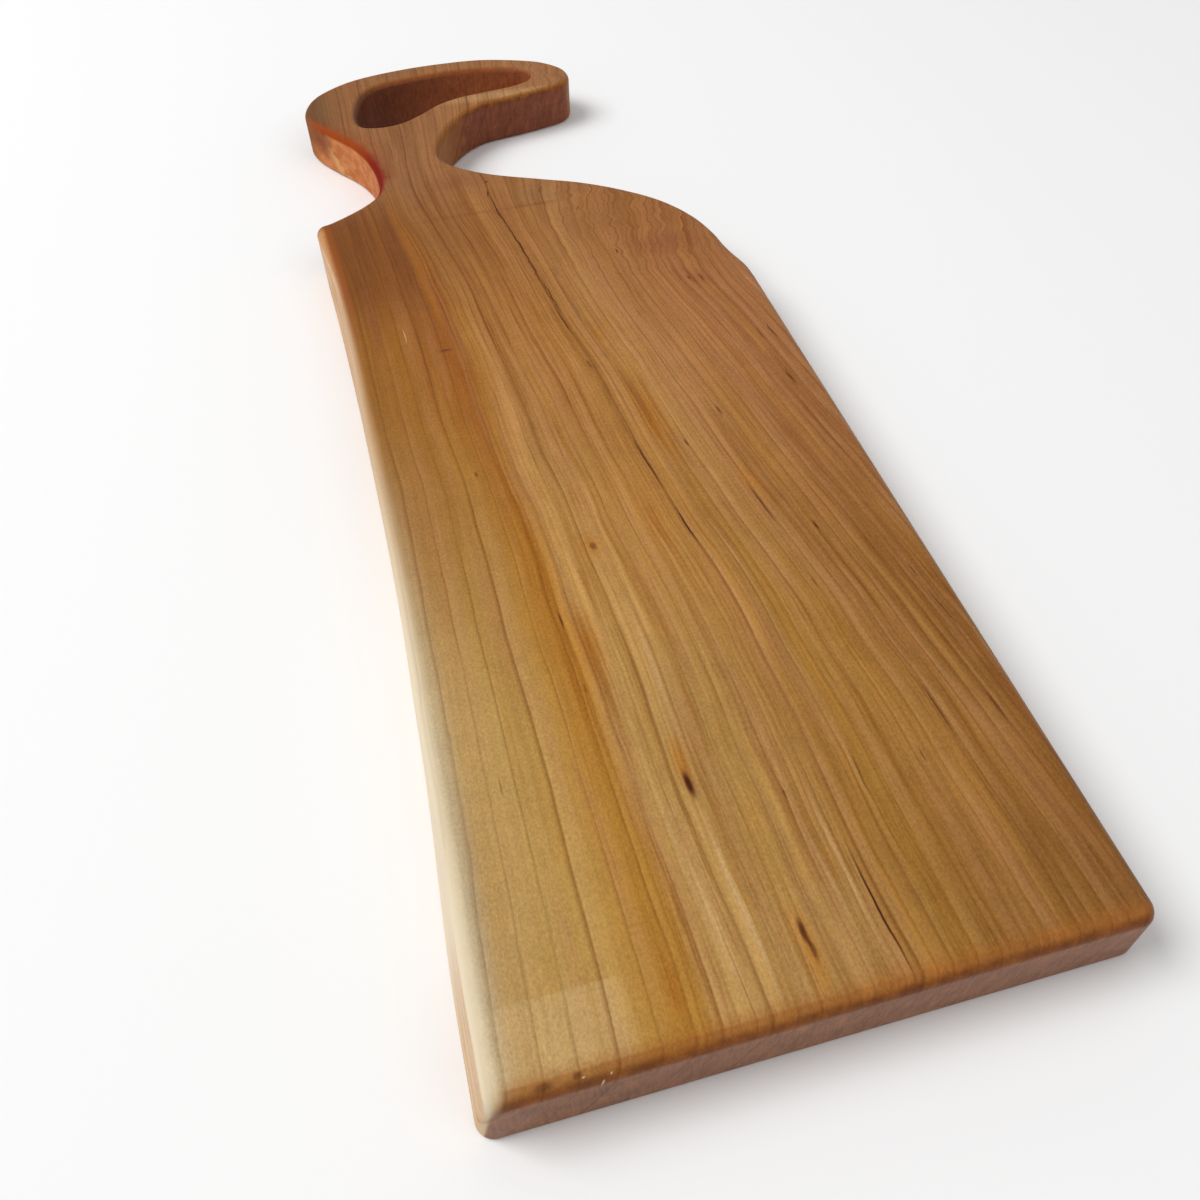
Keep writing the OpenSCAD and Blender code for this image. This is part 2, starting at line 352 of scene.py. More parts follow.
class Finish:
    """A material that is built up node by node."""

    def __init__(self, name, shown):
        self.material = bpy.data.materials.new(name)
        self.material.use_nodes = True
        self.material.diffuse_color = shown
        self.tree = self.material.node_tree
        self.tree.nodes.clear()

    def node(self, kind, settings=None, inputs=None, out=0):
        """Adds a node, with its settings first and then its inputs, and returns one of its outputs."""
        new = self.tree.nodes.new("ShaderNode" + kind)
        for name, value in (settings or {}).items():
            if name == "stops":
                self.set_stops(new.color_ramp, value)
            elif name == "points":
                self.set_points(new.mapping, value)
            else:
                setattr(new, name, value)
        for name, value in (inputs or {}).items():
            if isinstance(value, Wire):
                self.tree.links.new(value.socket, new.inputs[name])
            else:
                new.inputs[name].default_value = value
        return Wire(self, new.outputs[out]) if new.outputs else None

    @staticmethod
    def set_stops(ramp, stops):
        while len(ramp.elements) < len(stops):
            ramp.elements.new(1)
        for element, (at, value) in zip(ramp.elements, stops):
            element.position = at
            element.color = value if isinstance(value, tuple) else grey(value)

    @staticmethod
    def set_points(mapping, points):
        curve = mapping.curves[0]
        while len(curve.points) < len(points):
            curve.points.new(1, 1)
        for point, (at, value) in zip(curve.points, points):
            point.location = (at, value)
            point.handle_type = "AUTO_CLAMPED"
        mapping.update()

    def split(self, vector):
        """A vector's three parts."""
        parts = self.node("SeparateXYZ", None, {0: vector}).socket.node.outputs
        return [Wire(self, part) for part in parts]

    def point(self, x, y, z=0.0):
        return self.node("CombineXYZ", None, {0: x, 1: y, 2: z})

    def step(self, value, start, end, most=1.0):
        """Rises softly from 0 to the most as the value goes from start to end, which may be the lower one."""
        rise = (0.0, most) if start < end else (most, 0.0)
        return self.node("MapRange", {"interpolation_type": "SMOOTHSTEP"}, {
            0: value, 1: min(start, end), 2: max(start, end), 3: rise[0], 4: rise[1]
        })

    def curve(self, value, reach, points):
        """A smooth curve through points, for a value over the reach's span, between its low and its rise."""
        start, span, low, rise = reach
        placed = [((at - start) / span, (height - low) / rise) for at, height in points]
        share = self.node("FloatCurve", {"points": placed}, {"Factor": 1.0, "Value": (value - start) / span})
        return share * rise + low

    def blend(self, share, first, second, way="MIX"):
        """Two colours mixed by a share."""
        return self.node("Mix", {"data_type": "RGBA", "blend_type": way}, {0: share, 6: first, 7: second}, 2)

    def tinted(self, colour, tints):
        """A colour with others laid over it one after another, each by its share."""
        for share, tint in tints:
            colour = self.blend(share, colour, tone(*tint))
        return colour

    def shade(self, colour, amount):
        """A colour made lighter or darker by an amount about 1."""
        plain = colour if isinstance(colour, Wire) else colour[:3]
        return self.node("VectorMath", {"operation": "SCALE"}, {0: plain, "Scale": amount})

    def show(self, shader):
        self.node("OutputMaterial", None, {"Surface": shader})
        return self.material


# Cherry wood, in millimetres from the middle of the board

# Lines of the grain: y along the board, and how far across (x) each line is there
GRAIN_LINES = [
    [(-262, -90.5), (-190, -88), (-100, -87), (-30, -89), (60, -91.5), (130, -96), (260, -100)],
    [(-262, -76.5), (-220, -75), (-190, -74), (-150, -73.5), (-100, -73), (-70, -73), (-50, -74),
     (-30, -75), (0, -75.7), (30, -76.3), (60, -77.5), (100, -80), (130, -82), (180, -84), (260, -86)],
    [(-262, -50), (-200, -50), (-140, -50.5), (-90, -51), (-70, -51.5), (-50, -53), (-30, -54.3), (10, -55),
     (50, -57), (70, -58), (90, -60), (105, -61), (120, -62), (140, -64), (180, -66), (260, -66)],
    [(-262, -25.3), (-240, -25.5), (-220, -26.5), (-190, -27.5), (-165, -28.5), (-140, -29.8),
     (-100, -30.3), (-85, -31), (-70, -33), (-50, -34), (-30, -34.5), (0, -35), (25, -37), (45, -38.3),
     (55, -40), (75, -42), (95, -45), (110, -48), (125, -49), (140, -50), (155, -50), (170, -49),
     (185, -50), (260, -50)],
    [(-262, -13.5), (-240, -14.5), (-225, -15.5), (-210, -16), (-190, -17), (-175, -16.5), (-160, -16.5),
     (-140, -17.5), (-120, -18.5), (-100, -19.5), (-80, -20), (-52, -22.6), (-40, -23.2), (-15, -24.5),
     (10, -27), (35, -28.2), (50, -29.5), (70, -32), (90, -35), (110, -38), (125, -40), (140, -41),
     (155, -41), (170, -40), (200, -39), (260, -38)],
    [(-262, 24.2), (-240, 23), (-215, 22.5), (-190, 22), (-165, 21), (-145, 20.5), (-120, 17.5), (-105, 15),
     (-85, 13), (-65, 11), (-45, 9.5), (-20, 7.5), (0, 5), (20, 2), (45, 0), (65, -1.5), (85, -4),
     (110, -7), (130, -7.5), (150, -9), (180, -6), (200, -3), (230, 0), (260, 2)],
    [(-262, 65.5), (-235, 64.5), (-215, 62.8), (-195, 62), (-180, 60.5), (-170, 59), (-150, 57), (-130, 54),
     (-110, 51), (-90, 48), (-70, 45.5), (-50, 43), (-30, 40), (-10, 37.5), (10, 35), (30, 33), (50, 32),
     (72, 31), (82, 31), (95, 33.5), (110, 37), (130, 43), (260, 60)],
    [(-262, 92), (-170, 81), (-150, 78), (-135, 76), (-120, 74), (-100, 71), (-65, 66), (-30, 61), (0, 57),
     (20, 53), (40, 50.5), (52, 51.5), (66, 55), (84, 59), (100, 62), (130, 68), (260, 85)],
    [(-262, 130), (-190, 120), (-100, 107), (0, 93), (40, 88), (60, 88), (80, 91), (100, 95), (260, 120)]
]
# The lines keep their real distances at this place along the board
TRUE_Y = -190
# Dark lines of the rings at that place: x, half the width, and how dark
RING_LINES = [
    (-84, 0.4, 0.2), (-79.5, 0.4, 0.55), (-74, 0.5, 0.5), (-66, 0.4, 0.45), (-58.5, 0.45, 0.5),
    (-50, 0.45, 0.7), (-40.8, 0.4, 0.5), (-33.5, 0.5, 0.6), (-31.3, 0.4, 0.4), (-27.5, 0.5, 0.45),
    (-24, 0.35, 0.25), (-20.6, 0.35, 0.35), (-17, 0.55, 0.7), (-14, 0.35, 0.25), (-10, 0.45, 0.5),
    (-3.8, 0.45, 0.5), (-0.5, 0.35, 0.2), (3, 0.45, 0.5), (9.5, 0.45, 0.45), (13.6, 0.35, 0.35),
    (15.5, 0.35, 0.35), (17.5, 0.35, 0.45), (22, 0.55, 0.75), (26, 0.4, 0.35), (30, 0.5, 0.5),
    (33, 0.35, 0.25), (36, 0.5, 0.45), (42, 0.5, 0.5), (48.5, 0.5, 0.45), (51.5, 0.35, 0.25),
    (54, 0.45, 0.45), (58, 0.35, 0.3), (62, 0.6, 0.65), (65, 0.4, 0.35), (69, 0.45, 0.5), (73, 0.4, 0.4),
    (77.5, 0.45, 0.45), (80, 0.35, 0.3), (83, 0.45, 0.45), (86.5, 0.4, 0.4), (90, 0.4, 0.35),
    (93.6, 0.45, 0.5), (97, 0.35, 0.3), (99.7, 0.45, 0.55), (104.8, 0.4, 0.45), (108.8, 0.4, 0.4),
    (113, 0.4, 0.4), (117, 0.4, 0.3)
]
# What a ring ramp holds for plain wood, between its pale 0 and its dark 1
PLAIN = 0.4
# A ring line this near to a grain line is drawn by it, which fades and rises over these widths
AT_EDGE, EDGE_FADE, EDGE_RISE = 0.3, 0.6, 1.2
# How many half widths before a ring line its wood starts to darken
DARKENS_OVER = 1.7
# How far the rings lean to the side for each millimetre down
RING_LEAN = 0.5
# Tones of the rings from the bark to the far side, at the near end and at the handle's end
NEAR_TONES = [
    (-84, (192, 164, 116)), (-70, (184, 147, 88)), (-58, (183, 145, 80)), (-46, (180, 136, 64)),
    (-38, (176, 125, 48)), (-34, (170, 120, 42)), (-31, (172, 122, 46)), (-27, (180, 138, 74)),
    (-20, (178, 137, 76)), (-12, (175, 133, 74)), (0, (169, 127, 66)), (14, (163, 118, 59)),
    (24, (159, 111, 48)), (32, (158, 112, 46)), (46, (162, 114, 52)), (56, (156, 108, 48)),
    (66, (148, 100, 42)), (78, (140, 92, 38)), (100, (144, 96, 44)), (120, (140, 90, 42))
]
FAR_TONES = [
    (-84, (132, 82, 28)), (-74, (142, 88, 26)), (-66, (156, 98, 30)), (-56, (154, 94, 26)),
    (-44, (150, 88, 22)), (-36, (146, 80, 20)), (-32, (156, 96, 34)), (-27, (176, 122, 54)),
    (-21.7, (178, 126, 64)), (-17, (160, 106, 48)), (-8, (172, 118, 56)), (3, (168, 112, 50)),
    (14, (180, 126, 64)), (21, (164, 112, 52)), (30, (172, 120, 58)), (44, (184, 134, 78)),
    (54, (172, 120, 70)), (70, (168, 114, 64)), (84, (164, 108, 60)), (100, (160, 104, 60)),
    (120, (156, 102, 58))
]
# Where the pale sapwood ends beside the left edge: y and x
SAPWOOD_LINE = [
    (-262, -79.5), (-240, -79), (-180, -78.5), (-100, -77.7), (-60, -78), (-20, -79), (20, -80), (50, -81),
    (80, -82.5), (105, -84), (260, -90)
]
# The middle of the wood between the finger hole and the hook's outer face: x and y
RIM_LINE = [
    (-70, 192), (-35, 195), (-24, 200), (-15, 205), (-5, 211), (5, 214), (27, 219), (40, 223), (60, 228)
]
# The top edge of the notch beside the neck: y and x
NOTCH_LINE = [
    (130, -58), (147, -56), (159, -57), (174, -60), (186, -65), (200, -74), (215, -82), (226, -84.5),
    (240, -84.5)
]
# Reaches of the curves: where one starts and how far it runs, its lowest height and its rise
LENGTH_REACH = (-265, 530, -140, 280)
RIM_REACH = (-70, 130, 190, 40)
NOTCH_REACH = (130, 110, -90, 40)
# Small marks: x, y, half the length along the grain, half the width, and how dark
DARK_MARKS = [
    (-13.2, -198.5, 5, 1.1, 1.0), (1, -244.5, 4, 1.1, 0.9), (1.8, -249.5, 3, 0.9, 0.7),
    (-16.5, -107.5, 2, 1.5, 0.6), (15.4, -107, 10, 0.4, 1.0), (21, -244, 19, 0.4, 1.0),
    (11.5, -75, 15, 0.4, 0.9), (2.3, 14, 12, 0.4, 0.9), (-1, 52, 10, 0.8, 0.6), (-8.3, 119, 3.5, 0.5, 0.9),
    (-7, 130, 1, 0.6, 0.9), (5.5, -16, 3, 0.9, 0.5), (-33.6, -134.5, 3.5, 0.4, 0.8),
    (-32.9, -161, 2, 0.3, 0.6), (32.1, -208, 9, 0.3, 0.6), (42.7, -104, 11, 0.5, 0.8),
    (56.1, -118.5, 2.5, 0.5, 0.8), (46.2, -141, 2, 0.3, 0.6), (10.2, -208, 2, 0.4, 0.6),
    (61.7, -194, 11, 0.4, 0.7), (78, -145, 3, 0.3, 0.6), (80, -161, 9, 0.35, 0.7), (78, -198, 6, 0.5, 0.6),
    (51, -207, 3, 0.3, 0.6), (28, -68.5, 2, 0.6, 0.7), (44.5, -55, 3.5, 0.4, 0.8), (77, -45, 5, 0.5, 0.7),
    (75, -16, 4, 0.4, 0.6), (80, -16, 6, 0.4, 0.7), (33, 10, 5, 0.3, 0.6), (65.5, 27, 3, 0.6, 0.6),
    (61, 28, 1.5, 0.6, 0.6), (36.5, 56, 2, 0.6, 0.8), (29, 95, 1.5, 0.5, 0.7), (15, 115, 3, 0.4, 0.6),
    (-47.5, -64, 1.5, 0.7, 0.6), (-62.5, -186, 3, 0.3, 0.5), (-68, -262.3, 1, 2.2, 0.6),
    (-60, -262, 0.8, 1.2, 0.6), (-24, 240, 1.5, 0.6, 0.8), (-2.6, 73, 18, 0.5, 1.0),
    (-6.2, 100, 15, 0.45, 0.9), (1.6, 32, 14, 0.45, 0.8), (-46, 8.3, 0.6, 2.8, 0.6)
]
# Patches of another tone: x, y, half the length, half the width, and how strong
ORANGE_PATCHES = [
    (-36, -125, 60, 6, 0.5), (-28, -146, 14, 3.5, 0.7), (19, -50, 20, 5, 0.7), (42.5, -92, 10, 3, 0.6),
    (-13.4, -192, 9, 2, 0.8), (-17, -107, 5, 4, 0.6), (1, -249, 11, 2.6, 0.9), (-33.5, -250, 7, 2, 0.6),
    (5, -100, 16, 6, 0.3), (-47, 70, 60, 5, 0.5), (14, 2, 5, 3, 0.5)
]
RED_PATCHES = [
    (57, 57, 9, 15, 0.5), (-46, 8, 1.2, 4.5, 0.7), (-22, 134, 8, 20, 0.45), (-28, 104, 1.6, 40, 0.4),
    (64, 27, 6, 6, 0.4), (-3, 102, 18, 6, 0.3), (12, 104, 1.4, 12, 0.5), (-44, 45, 30, 1.5, 0.4),
    (-72, 35, 30, 2, 0.4)
]
GREY_PATCHES = [
    (-73, 222, 22, 8, 0.15), (17.3, -38, 15, 1.6, 0.3), (9, 20, 9, 1.2, 0.5), (8, 50, 5, 1.2, 0.5),
    (13, -12, 4, 1.5, 0.5), (-76.5, -215, 50, 3.2, 0.5), (12, 112, 10, 10, 0.3), (27, -150, 70, 3, 0.12)
]
PALE_PATCHES = [
    (-11.5, -235, 24, 1.3, 0.5), (-19, -238, 20, 1, 0.45), (-11.5, -160, 25, 1.0, 0.3),
    (17, -230, 25, 0.9, 0.3), (13, -240, 20, 0.8, 0.25), (-22, -215, 40, 0.8, 0.25), (14, 216, 5, 30, 0.3),
    (-60.3, 22, 5, 0.3, 0.8)
]
# White nicks on the near rounding
NICKS = [(-58.5, -262.6, 0.2, 0.35, 0.8), (-52, -263.2, 0.25, 0.25, 0.8), (-53.5, -264.2, 0.3, 0.3, 0.8)]
# The satin oil's roughness and shine, and its pores' strength and depth in millimetres
SATIN, OIL_SHINE = 0.44, 0.16
PORE_STRENGTH, PORE_DEPTH = 0.2, 0.3


def line_x(line, y):
    return table_at(GRAIN_LINES[line], y)


def true_across(x, y):
    """How far across a point lies where the grain lines keep their real distances."""
    last = len(GRAIN_LINES) - 1
    for k in range(last):
        left, right = line_x(k, y), line_x(k + 1, y)
        if x < right or k == last - 1:
            share = min(max((x - left) / (right - left), 0), 1)
            return mix(line_x(k, TRUE_Y), line_x(k + 1, TRUE_Y), share)


def dark_at(x):
    return max((dark for at, half, dark in RING_LINES if abs(at - x) < AT_EDGE), default=0)


class Cherry(Finish):
    """Oiled cherry wood, sawn so that its rings run along the board, with what its tones are mixed by."""

    def __init__(self):
        super().__init__("cherry", tone(165, 115, 65))
        self.x, self.y, self.z = [part / MM for part in self.split(self.node("TexCoord", out="Object"))]
        self.face_x, self.face_y, self.face_z = self.split(self.node("TexCoord", out="Normal"))
        self.depth = BOARD_T - self.z
        self.bands = self.grain_bands()
        self.across = self.true_place()
        self.flat = self.patch_place()
        self.lines, self.beside = self.rings()
        self.blotches = self.mottle(self.x, 0.16, 0.16, 0.2)
        self.grains = self.mottle(self.x, 1.4, 0.98, 1.4, rough=0.75)
        self.drips = self.mottle(self.x, 0.9, 0.9, 0.09, 3.0, 0.65)
        self.clouds = self.mottle(self.across, 0.05, 0.02)
        self.blush = self.mottle(self.across, 0.16, 0.009, 0.1, rough=0.6)
        self.streaks = self.mottle(self.across, 0.34, 0.011, 0.2, 4.0, 0.65)
        self.darker, self.light = self.streaked()
        self.near_end = self.step(self.y, -252, -263)
        # How far a face looks along the board, and so cuts across the grain
        self.crossing = abs(self.face_y)
        self.from_bark = self.past_sapwood()

    def mottle(self, place, wide, long, deep=0.0, detail=2.0, rough=0.5):
        """Cloudy noise from 0 to 1, with about so many clouds to a millimetre across, along and down."""
        at = self.point(place * wide, self.y * long, self.z * deep)
        return self.node("TexNoise", None, {"Vector": at, "Scale": 1.0, "Detail": detail, "Roughness": rough})

    def over_length(self, points):
        """How far across a line is, beside each place along the board."""
        return self.curve(self.y, LENGTH_REACH, points)

    def grain_bands(self):
        """Shares of the way over each band between two grain lines, which lean, wander and curl a little."""
        wander = self.mottle(self.x, 0.06, 0.025, 0.06)
        curl = self.mottle(self.x, 0.07, 0.12, detail=1.0)
        curled = self.step(self.y, 15, 75) * self.step(self.x, 5, 40, 8.0)
        place = self.x + self.depth * RING_LEAN + (wander - 0.5) * 2 + (curl - 0.5) * curled
        lines = [self.over_length(points) for points in GRAIN_LINES]
        return [((place - left) / (right - left)).held() for left, right in zip(lines, lines[1:])]

    def true_place(self):
        """How far across the grain a place is, as true_across works it out for one point."""
        place = line_x(0, TRUE_Y)
        for k, share in enumerate(self.bands):
            place = share * (line_x(k + 1, TRUE_Y) - line_x(k, TRUE_Y)) + place
        return place

    def patch_place(self):
        """Where patches lie: along the grain, with more ragged outlines towards the handle."""
        ragged = self.mottle(self.x, 0.1, 0.16, rough=0.7)
        return self.point(self.across + (ragged - 0.5) * (self.step(self.y, -120, 40, 1.8) + 0.5), self.y)

    def rings(self):
        """How dark the ring lines are and how pale the wood just past them is, from a ramp for each band."""
        total = 0
        for k, share in enumerate(self.bands):
            left, right = line_x(k, TRUE_Y), line_x(k + 1, TRUE_Y)
            inside = [line for line in RING_LINES if left + AT_EDGE < line[0] < right - AT_EDGE]
            stops = [(left, mix(PLAIN, 1, dark_at(left))), (left + EDGE_FADE, PLAIN * (1 - dark_at(left)))]
            for x, half, dark in inside:
                stops += [
                    (x - DARKENS_OVER * half, PLAIN), (x, mix(PLAIN, 1, dark)), (x + half, PLAIN * (1 - dark))
                ]
            stops += [(right - EDGE_RISE, PLAIN), (right, mix(PLAIN, 1, dark_at(right)))]
            stops = sorted(((at - left) / (right - left), value) for at, value in stops)
            ramp = self.node("ValToRGB", {"stops": stops}, {"Fac": share})
            total = (ramp - PLAIN) * (share > 0) * (share < 1) + total
        return (total / (1 - PLAIN)).held(), (total / -PLAIN).held()

    def tones(self, table):
        """The tone of the rings across the board."""
        low, high = table[0][0], table[-1][0]
        stops = [((x - low) / (high - low), tone(*colour)) for x, colour in table]
        return self.node("ValToRGB", {"stops": stops}, {"Fac": (self.across - low) / (high - low)})

    def patches(self, table, soft=1.5, firm=0.0):
        """Spots that lie along the grain, soft past their size and firm inside it."""
        total = 0
        for x, y, length, width, strength in table:
            scale = (1 / width, 1 / length, 0)
            offset = (-true_across(x, y) / width, -y / length, 0)
            at = self.node("VectorMath", {"operation": "MULTIPLY_ADD"}, {0: self.flat, 1: scale, 2: offset})
            away = self.node("VectorMath", {"operation": "LENGTH"}, {0: at}, "Value")
            total = self.step(away, soft, firm, strength) + total
        return total.held()

    def marks(self, table):
        """Small spots with firmer edges."""
        return self.patches(table, 1.3, 0.3)

    def streaked(self):
        """How strong the dark streaks are, and an amount about 1 for the pale ones and the fine grain."""
        across, y, streaks = self.across, self.y, self.streaks
        threads = self.mottle(across, 1.3, 0.022, 0.3, rough=0.6)
        lively = 1 - self.step(across, -28, -44, 0.65) * (1 - self.step(y, 10, 80, 0.7))
        darker = (self.step(streaks, 0.53, 0.24) + self.step(threads, 0.56, 0.72, 0.7)).held() * lively
        paler = (self.step(streaks, 0.47, 0.76, 0.24) + self.step(threads, 0.42, 0.26, 0.1)) * lively
        sunny = self.step(y, -180, -130) * self.step(y, -60, -95)
        sunny = sunny * self.step(across, -27, -22) * self.step(across, 32, 22, 0.1)
        return darker, 1 + paler + sunny + (self.grains - 0.5) * 0.8 + (self.blotches - 0.5) * 0.2

    def past_sapwood(self):
        """How far to the right of the sapwood a place is, in millimetres."""
        bark = self.x + self.depth * self.near_end * self.step(self.face_x, -0.95, -0.3, 0.6)
        return bark - self.over_length(SAPWOOD_LINE) + (self.grains - 0.5) * 2


def top_tones(wood):
    """The top, from the rings' own tones to its patches."""
    x, y, across, blush = wood.x, wood.y, wood.across, wood.blush
    farther = wood.step(y + (wood.clouds - 0.5) * 60, -190, 30)
    far_left = wood.step(y, 10, 70) * wood.step(across, -18, -50, 0.75) * wood.step(y, 175, 110)
    middle_left = wood.step(y, -170, -80) * wood.step(y, 60, 0) * wood.step(across, -42, -62, 0.45)
    below_neck = wood.step(y, 40, 90) * wood.step(across, 14, -4, 0.3) * wood.step(across, -54, -34)
    handle = wood.step(y, 100, 145, 0.65)
    handle_left = wood.step(y, 130, 190) * wood.step(x, -60, -80, 0.7)
    left_shoulder = wood.step(y, 40, 95) * wood.step(x, -66, -72, 0.12) * wood.step(y, 130, 118)
    near_right = wood.step(y, -195, -258) * wood.step(x, 0, 80, 0.4)
    # Painted sheen: the top's near left corner is paler. The middle of the top near the near end is a little
    # paler as well.
    painted_sheen_corner = wood.step(y, -242.4, -243.6) * wood.step(x, -42, -50, 0.35)
    paler_near_middle = wood.step(y, -232, -236) * (wood.step(x, -12, -4) * wood.step(x, 24, 18, 0.06))
    # Partly painted reflection: the pale greyish strip beside the sapwood, towards the near end, is a wood
    # tone with a painted sheen along the left edge.
    sapwood_strip_and_sheen = wood.step(wood.from_bark, 7.5, -1, 0.85) * wood.step(y, -30, -190)
    return wood.tinted(wood.blend(farther, wood.tones(NEAR_TONES), wood.tones(FAR_TONES)), [
        (wood.step(blush, 0.46, 0.66, 0.3), (180, 126, 84)),
        (wood.step(blush, 0.46, 0.3, 0.25), (176, 122, 44)),
        (wood.step(y, -20, 90, 0.5), (142, 88, 40)),
        (far_left, (120, 66, 16)),
        (middle_left, (150, 98, 30)),
        (below_neck, (118, 66, 24)),
        (handle, (152, 102, 62)),
        (handle_left, (92, 58, 26)),
        (left_shoulder, (96, 56, 18)),
        (near_right, (112, 68, 22)),
        (wood.patches(ORANGE_PATCHES), (174, 110, 30)),
        (wood.patches(RED_PATCHES), (136, 76, 44)),
        (wood.patches(GREY_PATCHES), (132, 104, 70)),
        (wood.marks(PALE_PATCHES), (206, 170, 118)),
        # Painted sheen on the near left corner, with the paler middle near the near end
        (painted_sheen_corner + paler_near_middle, (206, 174, 122)),
        # The wood tone and painted sheen of the strip beside the sapwood
        (sapwood_strip_and_sheen, (202, 184, 149))
    ])


def with_grain(wood, colour):
    """Adds the ring lines, the paler wood just past them, and the streaks."""
    y = wood.y
    uneven = wood.step(wood.clouds + (wood.streaks - 0.5) * 0.9, 0.25, 0.7)
    colour = wood.tinted(colour, [
        (wood.beside * uneven * wood.step(y, 60, -120, 0.22), (216, 180, 124)),
        (wood.lines * (0.38 + uneven * 0.47 + wood.step(y, -20, 80, 0.35)), (104, 52, 12))
    ])
    return wood.shade(wood.blend(wood.darker, colour, tone(226, 205, 168), "MULTIPLY"), wood.light)


def with_sapwood(wood, colour):
    """Adds the sapwood along the left edge: cream, salmon on the side, and browner towards the handle."""
    y = wood.y
    orange_edge = wood.step(wood.from_bark, 5, 1.5, 0.7) * wood.step(y, 0, 90) * wood.step(y, 116, 110)
    cream = wood.tinted(tone(202, 164, 118), [
        (wood.step(y, 0, -150), (232, 216, 188)),
        (wood.step(y, 20, 70), (194, 138, 86)),
        (wood.near_end * wood.step(wood.z, 21, 12, 0.85), (206, 166, 118))
    ])
    combed = wood.mottle(wood.x, 0.3, 0.025, 0.6, 3.0, 0.6)
    side = wood.blend(wood.step(combed, 0.35, 0.65), tone(186, 140, 94), tone(212, 174, 128))
    bare = wood.step(y, -212, -246) + wood.step(y, -40, 40)
    upright = wood.step(wood.face_x, -0.8, -0.97, 0.85) * (bare * 0.8 + 0.2)
    sapwood = wood.blend(upright, cream, wood.shade(side, wood.light))
    reach = wood.step(wood.from_bark * (wood.step(y, -20, 60) + 1), 2, -4) * wood.step(y, 114, 109)
    return wood.blend(reach, wood.tinted(colour, [(orange_edge, (150, 78, 22))]), sapwood)


def with_edges(wood, colour):
    """Edges across the grain drink more oil and are warm on the rounding. The upright face is brown, darker
    towards the handle: partly its own end-grain tone and partly painted shade.
    """
    y, crossing, light, blotches, drips = wood.y, wood.crossing, wood.light, wood.blotches, wood.drips
    heart = wood.step(wood.from_bark, -1, 5)
    brink = wood.step(y, -257, -262, 0.55)
    warm = wood.shade(tone(154, 93, 35), light)
    soaked = wood.step(blotches + (drips - 0.5) * wood.step(y, 0, 100, 0.6), 0.32, 0.7)
    deep = wood.shade(wood.blend(soaked, tone(106, 52, 16), tone(140, 79, 28)), light)
    # Partly painted shade: the upright faces across the grain are brown for their end grain and darker for
    # the shade they stand in, darker still towards the handle
    dull_and_painted_shade = wood.blend(wood.step(y, -200, 100), tone(142, 95, 66), tone(126, 68, 46))
    dull_and_painted_shade = wood.shade(dull_and_painted_shade, light + (drips - 0.5) * 1.3 + (blotches - 0.5) * 0.5)
    dull_and_painted_shade = wood.tinted(dull_and_painted_shade, [(wood.lines * 0.7, (84, 48, 34))])
    colour = wood.blend((wood.step(crossing, 0, 0.45, 0.75) + brink).held(0, 0.8) * heart, colour, warm)
    colour = wood.blend(wood.step(crossing, 0.4, 0.85, 0.85) * heart, colour, deep)
    colour = wood.tinted(colour, [(wood.lines * wood.step(crossing, 0.02, 0.3, 0.5), (88, 42, 12))])
    # The upright end-grain faces take that brown with its painted shade
    end_grain_and_shade = wood.step(crossing, 0.5, 0.9, 0.9) * wood.step(wood.face_z, 0.35, 0.1) * heart
    return wood.blend(end_grain_and_shade, colour, dull_and_painted_shade)


def with_notch(wood, colour, notch):
    """The handle's left face is orange, and red along its rounding and a little way over the top."""
    y, z, light, blotches = wood.y, wood.z, wood.light, wood.blotches
    pale_band = wood.step(abs(y - (194 + z * 0.7) + (blotches - 0.5) * 12), 5, 0.5, 0.6)
    orange = wood.blend(wood.step(blotches, 0.35, 0.65), tone(186, 110, 60), tone(202, 130, 80))
    orange = wood.tinted(orange, [
        (wood.step(y, 172, 145, 0.6), (164, 98, 64)),
        (pale_band, (226, 176, 120)),
        (wood.step(y, 197, 206, 0.85) * wood.step(z, 4, 14), (122, 60, 36))
    ])
    red = wood.blend(wood.step(y, 190, 160), tone(150, 62, 4), tone(122, 18, 0))
    orange = wood.blend(wood.step(wood.face_z, 0, 0.5) * wood.step(y, 225, 205), orange, red)
    from_notch = wood.x - wood.curve(y, NOTCH_REACH, NOTCH_LINE) + (blotches - 0.5) * 3
    glow = wood.step(from_notch, 6.5, 2, 0.6) + wood.step(from_notch, 15, 5, 0.25)
    glow = glow * wood.step(y, 139, 150) * wood.step(y, 222, 200) * wood.step(z, 18, 21)
    colour = wood.blend(glow, colour, wood.shade(red, light))
    return wood.blend(notch * wood.step(y, 228, 205), colour, wood.shade(orange, light * 0.6 + 0.4))


def with_hole(wood, colour):
    """The finger hole's walls and the lip of its rim are reddish end grain. Painted shade makes both darker
    towards the hole's left end, and the lip's red-orange right part is partly a painted highlight.
    """
    x, y, face_z = wood.x, wood.y, wood.face_z
    past_middle = y - wood.curve(x, RIM_REACH, RIM_LINE)
    in_hole = wood.step(past_middle, -1.5, 1.5) * wood.step(y, 258, 255)
    in_hole = in_hole * wood.step(x, -68, -65) * wood.step(x, 46, 42)
    # Painted shade: the wall is darker towards the hole's left end, where the rim shades it
    wall = wood.blend(wood.step(x, -50, 25), tone(106, 56, 34), tone(146, 80, 46))
    wall = wood.shade(wall, wood.light + (wood.drips - 0.5) * 1.1)
    # Painted shade and highlight: the lip is darker at the left end and a lighter red-orange towards the
    # right
    lip = wood.blend(wood.step(x, -60, -35), tone(96, 60, 38), tone(140, 76, 38))
    colour = wood.blend(in_hole * wood.step(face_z, 0.99, 0.75, 0.8), colour, wood.shade(lip, wood.light))
    return wood.blend(in_hole * wood.step(face_z, 0.6, 0.25), colour, wall)


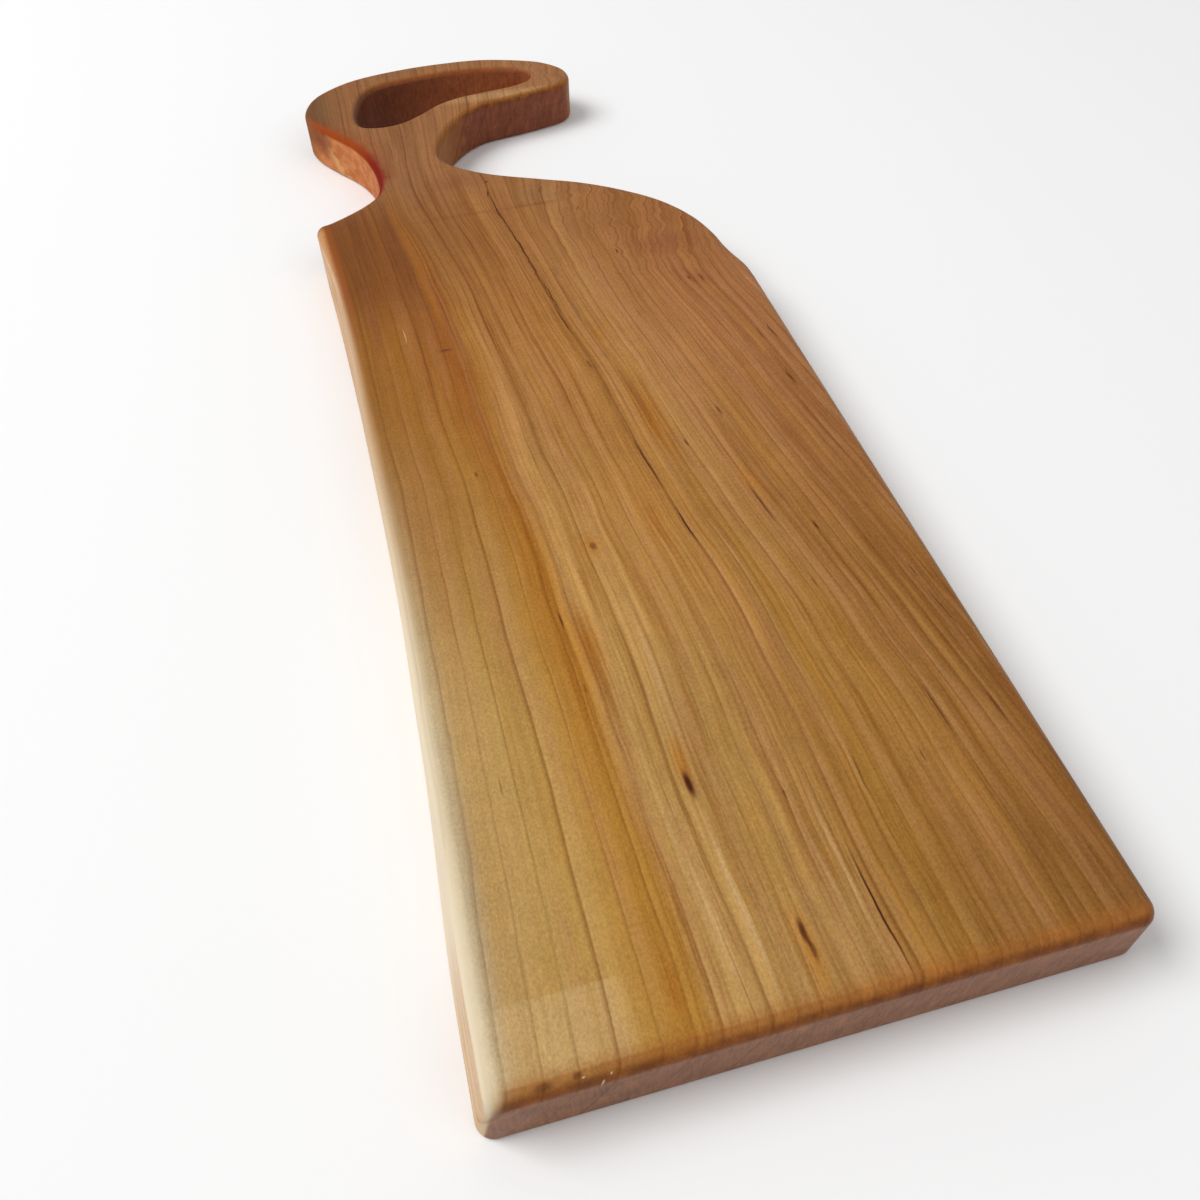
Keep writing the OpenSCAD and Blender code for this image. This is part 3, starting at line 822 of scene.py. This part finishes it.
def cherry():
    wood = Cherry()
    dark = wood.marks(DARK_MARKS)
    notch = wood.step(wood.y, 122, 134) * wood.step(wood.face_x, 0, -0.6) * wood.step(wood.x, -50, -54)
    colour = with_edges(wood, with_sapwood(wood, with_grain(wood, top_tones(wood))))
    colour = wood.tinted(colour, [
        (dark, (74, 28, 6)),
        (wood.marks(NICKS) * wood.step(wood.z, 17, 18.5), (226, 196, 160))
    ])
    colour = with_hole(wood, with_notch(wood, colour, notch))
    rough = SATIN + (wood.streaks - 0.5) * 0.15 + dark * 0.3 + notch * 0.4
    pores = wood.mottle(wood.x, 3, 0.15, 1)
    bump = wood.node("Bump", None, {"Strength": PORE_STRENGTH, "Distance": PORE_DEPTH * MM, "Height": pores})
    return wood.show(wood.node("BsdfPrincipled", None, {
        "Base Color": colour, "Roughness": rough, "Normal": bump, "Specular IOR Level": OIL_SHINE
    }))


# Room: lamps have a place and a size in metres, and a power in watts

LAMPS = {"window": ((-2.0, 0.6, 2.7), 2.0, 80), "fill": ((2.0, -2.0, 2.8), 2.4, 16)}
ROOM_LIGHT = 0.42
FLOOR_REACH = 6
# The floor lies a hair below the board, and looks a little whiter to the camera than it is
FLOOR_DROP = 0.0002
FLOOR_TONE, FLOOR_SEEN, FLOOR_ROUGH = 0.92, 0.96, 0.9


def pale_floor():
    finish = Finish("pale floor", grey(FLOOR_TONE))
    camera, glossy, through = [
        finish.node("LightPath", out=f"Is {ray} Ray") for ray in ("Camera", "Glossy", "Transmission")
    ]
    colour = finish.blend((camera + glossy + through).held(), grey(FLOOR_TONE), grey(FLOOR_SEEN))
    return finish.show(finish.node("BsdfPrincipled", None, {"Base Color": colour, "Roughness": FLOOR_ROUGH}))


def lay_floor():
    mesh = bmesh.new()
    bmesh.ops.create_grid(mesh, x_segments=1, y_segments=1, size=FLOOR_REACH)
    data = bpy.data.meshes.new("floor")
    mesh.to_mesh(data)
    mesh.free()
    floor = bpy.data.objects.new("floor", data)
    floor.location.z = -FLOOR_DROP
    data.materials.append(pale_floor())
    bpy.context.scene.collection.objects.link(floor)


def hang_lamp(name, place, size, power):
    light = bpy.data.lights.new(name, "AREA")
    light.size = size
    light.energy = power
    lamp = bpy.data.objects.new(name, light)
    lamp.location = place
    lamp.rotation_euler = (-Vector(place)).to_track_quat("-Z", "Y").to_euler()
    bpy.context.scene.collection.objects.link(lamp)


def light_room():
    world = bpy.data.worlds.new("soft room")
    world.use_nodes = True
    background = world.node_tree.nodes["Background"]
    background.inputs["Color"].default_value = grey(1)
    background.inputs["Strength"].default_value = ROOM_LIGHT
    bpy.context.scene.world = world
    for name, (place, size, power) in LAMPS.items():
        hang_lamp(name, place, size, power)


aim_camera()
board = make_board()
board.data.materials.append(cherry())
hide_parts("board")
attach(board, "root")
lay_floor()
light_room()
bpy.context.scene.view_settings.view_transform = "Standard"
bpy.context.view_layer.update()
